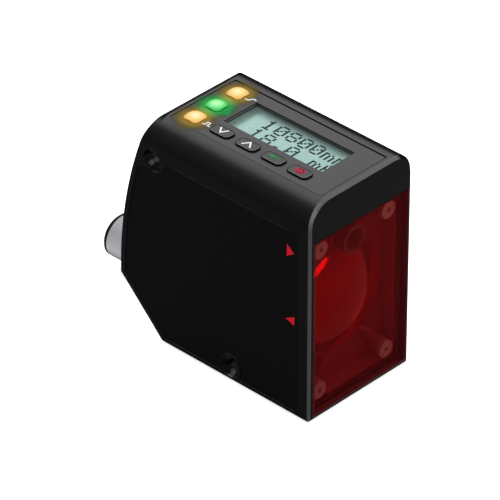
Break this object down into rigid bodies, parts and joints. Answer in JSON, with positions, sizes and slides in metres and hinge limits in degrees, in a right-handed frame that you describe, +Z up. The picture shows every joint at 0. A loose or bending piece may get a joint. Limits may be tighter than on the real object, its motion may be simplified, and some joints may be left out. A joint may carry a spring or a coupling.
{
  "type": "laser distance sensor",
  "caption": "Compact laser distance sensor with a red front window, a display and keys on top, two cross holes for mounting and a swivelling round plug at the rear.",
  "frame": {"origin": "middle of the underside of the whole outline, with the plug pointing straight back", "axes": "+X across the width to the side away from the keys, +Y from the window to the plug, +Z up to the display"},
  "size_m": [0.036, 0.0834, 0.064],
  "materials": {
    "housing_black": "matt powder coat",
    "window_red": "clear red plastic",
    "seal": "matt",
    "chassis": "moulded",
    "screw_steel": "turned",
    "lens_red": "polished",
    "cone_black": "moulded",
    "filter": "polished",
    "can_metal": "drawn",
    "tube_metal": "turned",
    "clear_glass": "polished",
    "diode_gold": "plated",
    "board_green": "laminate",
    "black_plastic": "moulded",
    "standoff_brass": "turned",
    "panel_grey": "printed film",
    "cover_clear": "polished",
    "crystal": "satin",
    "backlight": "satin",
    "ribbon": "film",
    "key_grey": "moulded",
    "lamp_amber": "diffuse",
    "lamp_green": "diffuse",
    "lamp_chip": "matt",
    "label_black": "satin film",
    "plug_metal": "turned and plated",
    "clip_steel": "spring steel",
    "contact_gold": "gold plated",
    "wire_jacket": "extruded",
    "plug_white": "moulded"
  },
  "bodies": {
    "body": {"housing": "housing_black", "front_window": "window_red", "window_seal": "seal", "optics_chassis": "chassis", "front_screws": "screw_steel", "receiving_lens": "lens_red", "receiver_cone": "cone_black", "receiver_filter": "filter", "light_detector": "can_metal", "laser_tube": "tube_metal", "laser_lens": "clear_glass", "laser_lens_ring": "black_plastic", "laser_diode": "diode_gold", "optics_board": "board_green", "board_header": "black_plastic", "main_board": "board_green", "board_standoffs": "standoff_brass", "board_screws": "screw_steel", "display_panel": "panel_grey", "panel_seal_ring": "seal", "display_cover": "cover_clear", "display_crystal": "crystal", "display_backlight": "backlight", "display_board": "board_green", "display_ribbon": "ribbon", "key_switches": "black_plastic", "lamp_chips": "lamp_chip", "lamp_left": "lamp_amber", "lamp_middle": "lamp_green", "lamp_right": "lamp_amber", "label_left": "label_black", "label_right": "label_black", "inner_wires": "wire_jacket", "wire_plug": "plug_white"},
    "swivel": {"swivel_elbow": "black_plastic", "swivel_seal": "seal", "swivel_clip": "clip_steel", "plug_barrel": "plug_metal", "plug_insert": "black_plastic", "contact_pins": "contact_gold"},
    "key_down": {"key_down": "key_grey"},
    "key_up": {"key_up": "key_grey"},
    "key_enter": {"key_enter": "key_grey"},
    "key_back": {"key_back": "key_grey"}
  },
  "joints": [
    {"name": "connector_swivel", "type": "hinge", "parent": "body", "child": "swivel", "pos_m": [0, 0.0153, 0.00735], "axis": [0, 0.7071, -0.7071], "range_deg": [-90, 180]},
    {"name": "key_down_press", "type": "slide", "parent": "body", "child": "key_down", "axis": [0, 0, -1], "range_m": [0, 0.0005], "stiffness_N_per_m": 3000},
    {"name": "key_up_press", "type": "slide", "parent": "body", "child": "key_up", "axis": [0, 0, -1], "range_m": [0, 0.0005], "stiffness_N_per_m": 3000},
    {"name": "key_enter_press", "type": "slide", "parent": "body", "child": "key_enter", "axis": [0, 0, -1], "range_m": [0, 0.0005], "stiffness_N_per_m": 3000},
    {"name": "key_back_press", "type": "slide", "parent": "body", "child": "key_back", "axis": [0, 0, -1], "range_m": [0, 0.0005], "stiffness_N_per_m": 3000}
  ]
}
